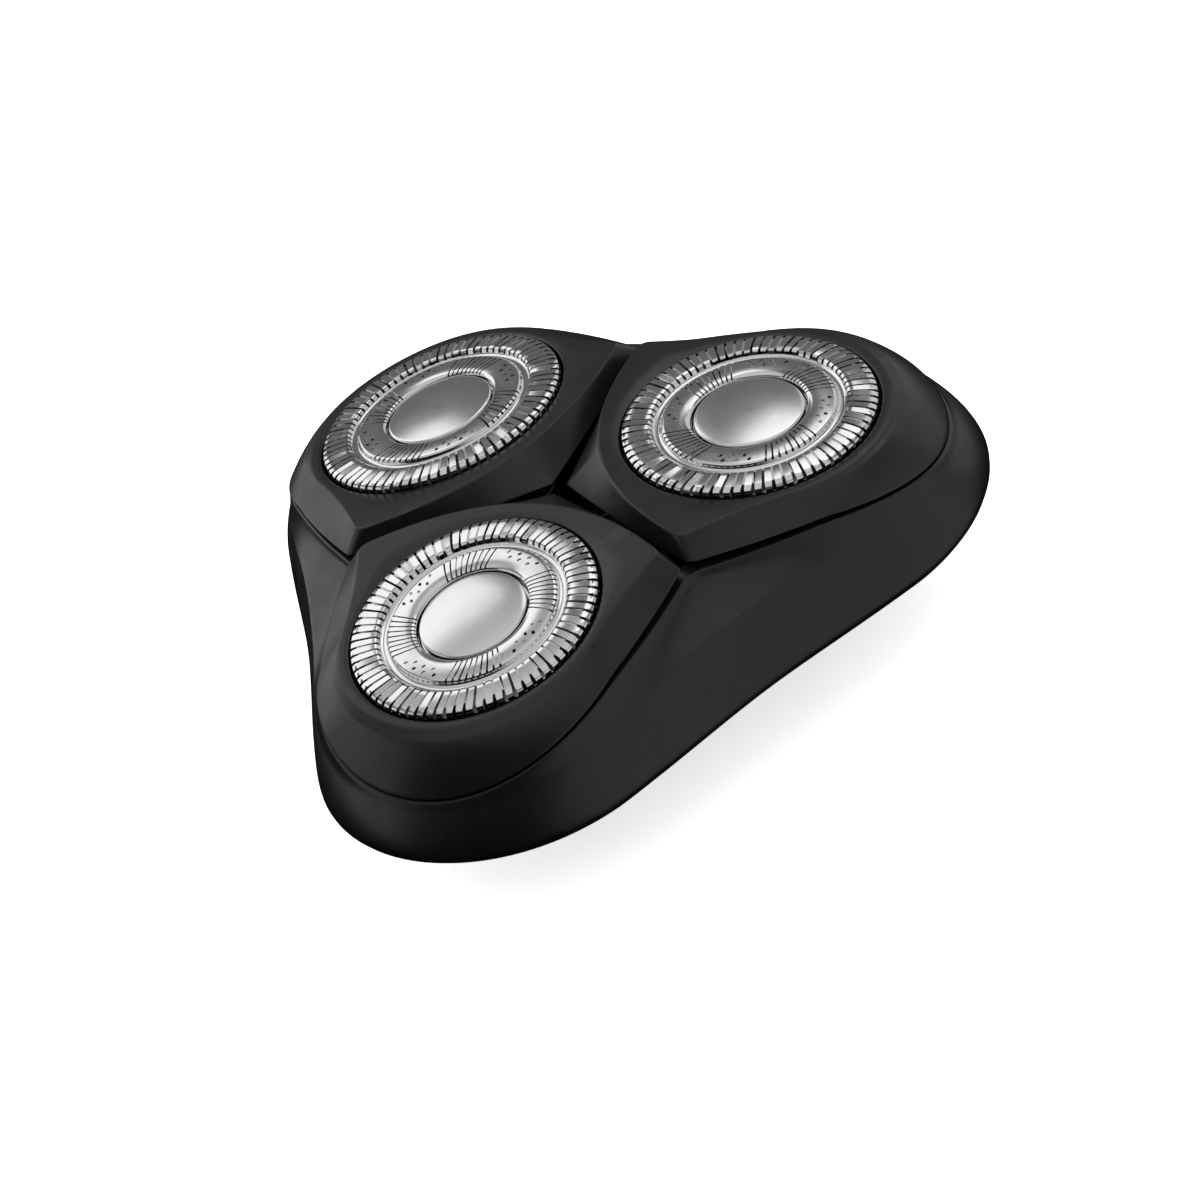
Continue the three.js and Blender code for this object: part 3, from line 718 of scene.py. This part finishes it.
# radius, height and the kind of band that starts at that ring
CAP_BANDS = [
    (4.3, -0.55, "plain"), (5.12, -0.55, "plain"), (5.2, -0.48, "plain"), (5.23, -0.1, "plain"),
    (5.25, 0.06, "plain"), (5.29, 0.16, "inner"), (5.36, 0.24, "inner"), (5.46, 0.295, "inner"),
    (5.6, 0.33, "inner"), (5.85, 0.355, "inner"), (6.25, 0.365, "inner"), (6.42, 0.365, "inner"),
    (6.86, 0.36, "inner"), (7.02, 0.35, "inner"), (7.46, 0.33, "inner"), (7.6, 0.315, "inner"),
    (7.76, 0.285, "inner"), (7.85, 0.22, "inner"), (7.89, 0.1, "plain"), (7.95, -0.04, "plain"),
    (8.06, -0.13, "plain"), (8.22, -0.17, "plain"), (8.42, -0.17, "plain"), (8.6, -0.13, "plain"),
    (8.72, -0.04, "outer"), (8.79, 0.1, "outer"), (8.86, 0.22, "outer"), (8.96, 0.29, "outer"),
    (9.12, 0.325, "outer"), (9.5, 0.325, "outer"), (9.9, 0.305, "outer"), (10.3, 0.275, "outer"),
    (10.7, 0.236, "outer"), (10.98, 0.2, "outer"), (11.17, 0.15, "outer"), (11.33, 0.07, "outer"),
    (11.44, -0.03, "outer"), (11.49, -0.15, "outer"), (CAP_R, -0.3, "outer"),
    (CAP_R, -0.5, "plain"), (CAP_R, -0.7, "plain"), (CAP_R, -1.5, "plain"),
]


def slot_lean(radius):
    """How far round, in degrees, a slot has turned at a radius: each track's slots lean."""
    inner = 4.7 * np.clip((7.85 - radius) / 2.15, 0, 1.15)
    outer = 1.9 * np.clip((11.5 - radius) / 2.5, 0, 1) * smoothstep(radius, 8.0, 8.8)
    return inner + outer


def cap_opening(kind, band, pitch, column):
    """What a cell of the cap is: solid, part of a slot, or a pin hole."""
    in_quarter = pitch % CAP_QUARTER
    if kind == "outer":
        return "slot" if column == 0 else "solid"
    if kind == "inner":
        if in_quarter < GROUP_SLOTS:
            return "slot" if column == 0 else "solid"
        row = (in_quarter - FIRST_PIN) % 2
        wanted = PIN_ROWS[1 - row]
        if column == 2 and FIRST_PIN <= in_quarter <= LAST_PIN and abs(band - wanted) < 0.01:
            return "pin"
    return "solid"


def slot_share(radius):
    """The share of a pitch that is slot: the slots widen where they run over a track's edges."""
    rim = smoothstep(radius, 11.0, 11.35) + 1 - smoothstep(radius, 8.85, 9.1)
    rim = rim if radius > 8.3 else smoothstep(radius, 7.55, 7.8) + 1 - smoothstep(radius, 5.5, 5.8)
    return SLOT_SHARE + (SLOT_END_SHARE - SLOT_SHARE) * rim


def cap_ring(radius, height, kind, pitch, step, tilts):
    """One ring of the cap: four points for each pitch, two beside the slot and two on the bar."""
    half = slot_share(radius) / 2 if kind in ("outer", "inner") else SLOT_SHARE / 2
    starts = np.array((-half, half, 0.5 - PIN_SHARE / 2, 0.5 + PIN_SHARE / 2))
    shares = pitch + starts[step]
    plain_share = (shares % CAP_QUARTER - GROUP_SLOTS + 1) / (CAP_QUARTER - GROUP_SLOTS + 1)
    bevel = BEVEL_REACH * np.sin(np.pi * np.clip(plain_share, 0, 1))
    reach = radius + bevel * smoothstep(radius, 5.24, 5.5) * (1 - smoothstep(radius, 5.76, 6.5))
    z = np.full(len(pitch), height)
    if kind == "outer":
        along_bar = np.array((1, -1, -0.4, 0.4))[step]
        z = z + BAR_TILT * tilts[pitch - (step == 0)] * along_bar
        reach = reach + BAR_CROWN * (step > 1) * smoothstep(radius, 11.1, 11.4)
    turn = np.radians(shares * 360 / CAP_PITCHES + CAP_PHASE + slot_lean(radius))
    return list(zip(reach * np.cos(turn), reach * np.sin(turn), z))


def cap_mesh():
    """The cap's skin with real slots and pin holes, in the head's frame."""
    tilts = np.random.default_rng(7).normal(size=CAP_PITCHES)
    columns = [(pitch, step) for pitch in range(CAP_PITCHES) for step in range(4)]
    pitches, steps = np.array(columns).T
    count = len(columns)
    points, faces = [], []
    for radius, height, kind in CAP_BANDS:
        points += cap_ring(radius, height, kind, pitches, steps, tilts)
    for level, (radius, _, kind) in enumerate(CAP_BANDS[:-1]):
        for i, (pitch, step) in enumerate(columns):
            j = (i + 1) % count
            low, high = level * count, (level + 1) * count
            cell = (low + i, high + i, high + j, low + j)
            opening = cap_opening(kind, radius, pitch, step)
            if opening == "solid":
                faces.append(cell)
            elif opening == "pin":
                add_pin_hole(points, faces, cell)
    mesh = new_mesh("cap", points, faces)
    mesh.materials.append(CAP_STEEL)
    mesh.materials.append(GROUND_STEEL)
    return thickened(mesh, CAP_SKIN)


def add_pin_hole(points, faces, cell):
    """Fills a four-cornered cell with faces that leave a round hole in its middle."""
    corners = np.array([points[i] for i in cell])
    middle = corners.mean(axis=0)
    first = (corners[1] - corners[0] + corners[2] - corners[3]) / 4
    second = (corners[3] - corners[0] + corners[2] - corners[1]) / 4
    start = len(points)
    for k in range(PIN_CORNERS):
        turn = math.radians(360 / PIN_CORNERS * k - 157.5)
        spoke = first * math.cos(turn) + second * math.sin(turn)
        points.append(tuple(middle + PIN_FILL * spoke))
    for k in range(4):
        a, b = start + 2 * k, start + (2 * k + 1) % PIN_CORNERS
        c = start + (2 * k + 2) % PIN_CORNERS
        faces.append((cell[k], b, a))
        faces.append((cell[k], cell[(k + 1) % 4], c, b))


def thickened(mesh, thickness):
    """The mesh given a thickness on its inner side, with its slots' walls."""
    work = bpy.data.objects.new("work", mesh)
    bpy.context.collection.objects.link(work)
    modifier = work.modifiers.new("thick", "SOLIDIFY")
    modifier.thickness = thickness * MM
    modifier.offset = -1
    modifier.material_offset = 1
    modifier.material_offset_rim = 0
    bpy.context.view_layer.update()
    evaluated = work.evaluated_get(bpy.context.evaluated_depsgraph_get())
    result = bpy.data.meshes.new_from_object(evaluated)
    bpy.data.objects.remove(work)
    result.set_sharp_from_angle(angle=math.radians(38))
    return result


DOME_R = 4.75
DOME_TOP = 0.5
DOME_DROP = 0.28


def disc_mesh():
    """The polished disc in the middle of a cap, with a soft dome and a rolled edge."""
    radii = np.linspace(DOME_R, 0.25, 19)
    dome = [(r, DOME_TOP - DOME_DROP * (r / DOME_R) ** 2.4) for r in radii]
    edge = [(5.0, -0.25), (5.0, 0.02), (4.985, 0.09), (4.94, 0.15), (4.86, 0.195)]
    profile = [(0, -1), (2.2, -1), (2.2, -0.25), *edge, *dome, (0, DOME_TOP)]
    points, faces = disc_lathe(profile, 128)
    return new_mesh("disc", points, faces, 35)


# ------------------------------------------------------------------ cutters
BLADES = 19
BLADE_FOOT = -1.6
# radius and height along a blade's crest, and how wide its ground land is
OUTER_CREST = ((9.1, 0.255), (9.9, 0.235), (10.65, 0.17))
OUTER_LAND = 2.0
INNER_CREST = ((6.2, 0.285), (6.9, 0.285), (7.5, 0.25))
INNER_LAND = 1.2


def cutter_mesh():
    """The disc that spins under a cap, with two rings of wedge-shaped blades."""
    profile = [(0, -1.9), (10.7, -1.9), (10.7, -1.55), (9.6, -1.42), (8.6, -1.5), (7.6, -1.5)]
    profile += [(5.9, -1.42), (4.6, -1.6), (0, -1.6)]
    pieces = [disc_lathe(fillet_profile(profile, 0.12, 2, closed=False), 96)]
    for k in range(BLADES):
        turn = 2 * math.pi * k / BLADES
        pieces.append(blade(OUTER_CREST, OUTER_LAND, turn))
        pieces.append(blade(INNER_CREST, INNER_LAND, turn + math.pi / BLADES))
    points, faces = joined(pieces)
    return new_mesh("cutter", points, faces, 30)


def blade(crest, land, turn):
    """A wedge that leans forward to its edge, with a ground land close under the cap's track."""
    corners, faces = [], [(3, 2, 1, 0)]
    for level, (radius, top) in enumerate(crest):
        corners += [(radius, 0, top), (radius, -land, top), (radius, -land - 0.4, BLADE_FOOT)]
        corners.append((radius, -0.6, BLADE_FOOT))
        if level:
            low, high = 4 * level - 4, 4 * level
            faces += [(low + i, low + (i + 1) % 4, high + (i + 1) % 4, high + i) for i in range(4)]
    last = len(corners) - 4
    faces.append((last, last + 1, last + 2, last + 3))
    c, s = math.cos(turn), math.sin(turn)
    points = np.array(corners) @ np.array([[c, s, 0], [-s, c, 0], [0, 0, 1]])
    return points, faces


# ------------------------------------------------------------------ underside pieces
NECK_R = 12.6
NECK_BORE = 11.2
NECK_FOOT = -1.0
COVER_LOW = 3.4
COVER_HIGH = 4.7
COVER_R = 17.5
SCREW_RING = 15.2


def lobe_angle(side):
    """The direction of a head from the drive axis."""
    place_of = HEADS[side].translation
    return math.atan2(place_of.y, place_of.x)


def base_cover_mesh():
    """The cover under the housing, with its round neck, ribs and screw seats."""
    profile = [(2.6, COVER_LOW), (NECK_BORE, COVER_LOW), (NECK_BORE, NECK_FOOT), (NECK_R, NECK_FOOT)]
    profile += [(NECK_R, 0.45), (NECK_R - 0.6, 0.6), (NECK_R - 0.6, 1.8), (NECK_R, 1.95)]
    profile += [(NECK_R, COVER_LOW), (COVER_R, COVER_LOW), (COVER_R, COVER_HIGH), (2.6, COVER_HIGH)]
    points, faces = lathe(fillet_profile(profile, 0.25, 3), 144)
    mesh = new_mesh("base_cover", points, faces)
    tools = []
    for side in SIDES:
        turn = lobe_angle(side)
        x, y = SCREW_RING * math.cos(turn), SCREW_RING * math.sin(turn)
        tools.append(solid_from("hole", *round_bar(1.2, 0, 8, x, y)))
        tools.append(solid_from("seat", *round_bar(2.2, 0, COVER_LOW + 0.5, x, y)))
    mesh = cut(mesh, tools)
    mesh.shade_smooth()
    mesh.set_sharp_from_angle(angle=math.radians(35))
    return mesh


def seal_mesh():
    """The soft ring in the neck's groove."""
    profile = [(12.3, 0.75), (13.0, 0.75), (13.1, 1.2), (13.0, 1.65), (12.3, 1.65)]
    points, faces = lathe(fillet_profile(profile, 0.2, 3), 128)
    return new_mesh("seal", points, faces, 60)


def coupling_mesh():
    """The drive coupling: a round boss with three square-edged dogs."""
    profile = [(0, 0), (2.4, 0), (2.4, 0.6), (4, 0.6), (4, 3.1), (2, 3.1), (2, 9.6), (0, 9.6)]
    points, faces = disc_lathe(fillet_profile(profile, 0.18, 3, closed=False), 64)
    mesh = new_mesh("coupling", points, faces)
    tools = []
    for k in range(3):
        dog = block((1.8, 1.6, 1.0), (3.1, 0, 0.5), math.radians(120 * k))
        tools.append(solid_from("dog", *dog))
    mesh = cut(mesh, tools, "UNION")
    mesh.shade_smooth()
    mesh.set_sharp_from_angle(angle=math.radians(35))
    return mesh


def screw_mesh(shank_r, length, head_r, head_height):
    """A small pan-head screw with a cross recess, its head up and its seat at z = 0."""
    profile = [(0, -length), (shank_r, -length), (shank_r, 0), (head_r, 0)]
    profile += [(head_r, head_height * 0.55), (head_r * 0.8, head_height), (0, head_height)]
    points, faces = disc_lathe(fillet_profile(profile, 0.16, 3, closed=False), 48)
    mesh = new_mesh("screw", points, faces)
    size = (head_r * 1.2, head_r * 0.32, 1.2)
    centre = (0, 0, head_height * 0.45 + 0.6)
    tools = [solid_from("recess", *block(size, centre, k * math.pi / 2)) for k in range(2)]
    mesh = cut(mesh, tools)
    mesh.shade_smooth()
    mesh.set_sharp_from_angle(angle=math.radians(35))
    return mesh


COIL_STEPS = 28
WIRE_SIDES = 12
CLOSED_SHARE = 0.12


def coil_mesh(radius, wire, low, high, turns, centre):
    """A round-wire coil about a vertical line, with its ends closed, in mm."""
    steps = int(turns * COIL_STEPS)
    share = np.linspace(0, 1, steps + 1)
    angle = 2 * np.pi * turns * share
    climb = np.clip((share - CLOSED_SHARE) / (1 - 2 * CLOSED_SHARE), 0, 1)
    z = low + wire + (high - low - 2 * wire) * climb
    ring_turn = np.linspace(0, 2 * np.pi, WIRE_SIDES, endpoint=False)
    reach = radius + wire * np.cos(ring_turn)
    points = []
    for a, height in zip(angle, z):
        x = centre[0] + reach * math.cos(a)
        y = centre[1] + reach * math.sin(a)
        points += list(zip(x, y, height + wire * np.sin(ring_turn)))
    faces = []
    for level in range(steps):
        for i in range(WIRE_SIDES):
            j = (i + 1) % WIRE_SIDES
            low_i, high_i = level * WIRE_SIDES, (level + 1) * WIRE_SIDES
            faces.append((low_i + i, high_i + i, high_i + j, low_i + j))
    faces.append(tuple(range(WIRE_SIDES)))
    last = steps * WIRE_SIDES
    faces.append(tuple(reversed(range(last, last + WIRE_SIDES))))
    return new_mesh("coil", points, faces, 60)


# ------------------------------------------------------------------ assembly
SPRING_R = 1.2
SPRING_WIRE = 0.22
SPRING_TURNS = 5


def build_heads():
    """The petal, cap, disc and cutter of each head."""
    petal, cap, disc, cutter = petal_mesh(), cap_mesh(), disc_mesh(), cutter_mesh()
    for side in SIDES:
        matrix = HEADS[side]
        name = f"petal_shell_{side}"
        place(name, petal, BLACK, f"petal_body_{side}", [f"petal_{side}"], matrix)
        body = f"cap_body_{side}"
        name = f"slotted_cap_{side}"
        place(name, cap, CAP_STEEL, body, [f"guard_cap_{side}"], matrix)
        name = f"polished_disc_{side}"
        place(name, disc, DISC_STEEL, body, [f"centre_disc_{side}"], matrix)
        name = f"blade_ring_{side}"
        body = f"cutter_body_{side}"
        place(name, cutter, GROUND_STEEL, body, [f"cutter_{side}"], matrix)


def build_unit():
    """The housing, the cover with its seal and screws, and the coupling."""
    root = "unit_frame"
    place("housing", housing_mesh(), BLACK, root, ["housing_shell"])
    place("neck_cover", base_cover_mesh(), INNER, root, ["base_cover"])
    place("neck_seal", seal_mesh(), RUBBER, root, ["neck_seal_ring"])
    place("dog_coupling", coupling_mesh(), PALE, "drive", ["drive_coupling"])
    screw = screw_mesh(0.6, 2.2, 1.8, 0.9)
    for side in SIDES:
        turn = lobe_angle(side)
        x, y = SCREW_RING * math.cos(turn), SCREW_RING * math.sin(turn)
        spot = Vector((x, y, COVER_LOW + 0.2)) * MM
        matrix = Matrix.Translation(spot) @ Matrix.Rotation(math.pi, 4, "X")
        node = f"base_screw_{side}"
        place(f"cover_screw_{side}", screw, PLAIN_STEEL, root, [node], matrix)


def build_petal_springs():
    """The springs under the petals' inner ends. The real springs shorten as the petals tilt; these coils are
    fixed.
    """
    for side in SIDES:
        node = f"petal_spring_{side}"
        low, high = (np.array(corner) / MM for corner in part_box(node))
        middle = (low + high) / 2
        mesh = coil_mesh(SPRING_R, SPRING_WIRE, low[2], high[2], SPRING_TURNS, middle)
        # the springs get the near-black steel, painted shade for the dark gap they sit in
        spring = place(f"lift_spring_{side}", mesh, SHADED_SPRING_STEEL, "unit_frame", [node])
        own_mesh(spring)


# ------------------------------------------------------------------ stage, light and camera
VIEW_AZIMUTH = 37.1
VIEW_ELEVATION = 34.8
VIEW_ROLL = -22.52
VIEW_DISTANCE = 0.646
LENS = 219.8
AIM_HEIGHT = 0.022
AIM_RIGHT = math.radians(0.362)
AIM_DOWN = math.radians(0.951)
FLOOR_HALF = 3.0
LAMP_DISTANCE = 1.2

# azimuth and elevation of the middle, width and height in degrees, and radiance
LAMPS = {
    "overhead_box": (0, 90, 112, 112, 1.4),
    "back_left_box": (149, 38, 32, 20, 1.0),
    "back_right_high_box": (92, 47, 32, 18, 1.0),
    "back_right_low_box": (76, 13, 48, 46, 0.5),
    "left_box": (164, 11, 34, 34, 0.95),
    "front_left_box": (207, 15, 42, 40, 0.55),
}

# world brightness: behind the object, overhead and to the right
BEHIND_WAY = (-0.64, 0.77, 0)
BEHIND_GLOW = 0.13
ABOVE_GLOW = 0.6
RIGHT_GLOW = 0.6


def build_stage():
    """A plain pale floor that only the camera sees, so that black gloss stays black."""
    half = FLOOR_HALF
    z = cad_low.z
    mesh = bpy.data.meshes.new("floor")
    corners = [(-half, -half, z), (half, -half, z), (half, half, z), (-half, half, z)]
    mesh.from_pydata(corners, [], [(0, 1, 2, 3)])
    floor = bpy.data.objects.new("floor", mesh)
    floor.data.materials.append(floor_paper("floor_paper"))
    floor.visible_glossy = False
    floor.visible_diffuse = False
    floor.visible_shadow = False
    bpy.context.collection.objects.link(floor)


def soft_box(name, azimuth, elevation, width, height, radiance):
    """A rectangular lamp that covers width by height degrees, seen from the object."""
    light = bpy.data.lights.new(name, "AREA")
    light.shape = "RECTANGLE"
    light.size = 2 * LAMP_DISTANCE * math.tan(math.radians(width / 2))
    light.size_y = 2 * LAMP_DISTANCE * math.tan(math.radians(height / 2))
    light.energy = radiance * math.pi * light.size * light.size_y
    lamp = bpy.data.objects.new(name, light)
    turn, lift = math.radians(azimuth), math.radians(elevation)
    way = Vector((math.cos(turn) * math.cos(lift), math.sin(turn) * math.cos(lift), math.sin(lift)))
    lamp.location = Vector((0, 0, AIM_HEIGHT)) + way * LAMP_DISTANCE
    lamp.rotation_euler = (-way).to_track_quat("-Z", "Y").to_euler()
    bpy.context.collection.objects.link(lamp)
    return lamp


def build_lights():
    """Six soft lamps. The overhead one fills in without showing in the gloss."""
    lamps = {name: soft_box(name, *settings) for name, settings in LAMPS.items()}
    lamps["overhead_box"].visible_glossy = False
    build_world()


def build_world():
    """Studio air: dark in front, paler to the right, behind and overhead. The camera sees white."""
    world = bpy.data.worlds.new("studio")
    world.use_nodes = True
    tree = world.node_tree
    way = tree.nodes.new("ShaderNodeTexCoord").outputs["Generated"]
    parts = tree.nodes.new("ShaderNodeSeparateXYZ")
    tree.links.new(way, parts.inputs[0])
    toward = tree.nodes.new("ShaderNodeVectorMath")
    toward.operation = "DOT_PRODUCT"
    toward.inputs[1].default_value = BEHIND_WAY
    tree.links.new(way, toward.inputs[0])
    behind = ramp(tree, toward.outputs["Value"], -0.5, 0.3, 0.0, BEHIND_GLOW)
    above = ramp(tree, parts.outputs["Z"], 0.6, 0.92, 0.0, ABOVE_GLOW)
    right = ramp(tree, parts.outputs["X"], 0.45, 0.85, 0.0, RIGHT_GLOW)
    level = ramp(tree, parts.outputs["Z"], -0.4, 0.0, 0.0, 1.0)
    ambient = tree.nodes.new("ShaderNodeMath")
    ambient.operation = "MULTIPLY"
    tree.links.new(behind, ambient.inputs[0])
    tree.links.new(level, ambient.inputs[1])
    total = tree.nodes.new("ShaderNodeLightPath").outputs["Is Camera Ray"]
    for share in (ambient.outputs[0], above, right):
        brighter = tree.nodes.new("ShaderNodeMath")
        brighter.operation = "MAXIMUM"
        tree.links.new(total, brighter.inputs[0])
        tree.links.new(share, brighter.inputs[1])
        total = brighter.outputs[0]
    tree.links.new(total, tree.nodes["Background"].inputs["Strength"])
    tree.nodes["Background"].inputs["Color"].default_value = (1, 1, 1, 1)
    bpy.context.scene.world = world


def ramp(tree, source, start, end, low, high):
    """A soft change from low to high as the source goes from start to end."""
    node = tree.nodes.new("ShaderNodeMapRange")
    node.interpolation_type = "SMOOTHSTEP"
    node.inputs["From Min"].default_value = start
    node.inputs["From Max"].default_value = end
    node.inputs["To Min"].default_value = low
    node.inputs["To Max"].default_value = high
    tree.links.new(source, node.inputs["Value"])
    return node.outputs["Result"]


def build_camera():
    """The camera, at the photograph's viewing angle, roll and framing."""
    azimuth, elevation, roll = map(math.radians, (VIEW_AZIMUTH, VIEW_ELEVATION, VIEW_ROLL))
    level = math.cos(elevation)
    back = Vector((math.sin(azimuth) * level, -math.cos(azimuth) * level, math.sin(elevation)))
    right = Vector((0, 0, 1)).cross(back).normalized()
    up = back.cross(right)
    tilted_right = right * math.cos(roll) + up * math.sin(roll)
    tilted_up = up * math.cos(roll) - right * math.sin(roll)
    back_aimed = back - tilted_right * math.tan(AIM_RIGHT) + tilted_up * math.tan(AIM_DOWN)
    back_aimed.normalize()
    right_aimed = tilted_up.cross(back_aimed).normalized()
    up_aimed = back_aimed.cross(right_aimed)
    camera = bpy.data.cameras.new("camera")
    camera.lens = LENS
    camera.sensor_width = 36
    camera.clip_start, camera.clip_end = 0.01, 20
    eye = bpy.data.objects.new("camera", camera)
    turn = Matrix((right_aimed, up_aimed, back_aimed)).transposed().to_4x4()
    eye.matrix_world = Matrix.Translation(Vector((0, 0, AIM_HEIGHT)) + back * VIEW_DISTANCE) @ turn
    bpy.context.collection.objects.link(eye)
    bpy.context.scene.camera = eye


bpy.context.scene.view_settings.view_transform = "Standard"
build_camera()
build_stage()
build_lights()
dress_cad_nodes()
build_unit()
build_heads()
build_petal_springs()
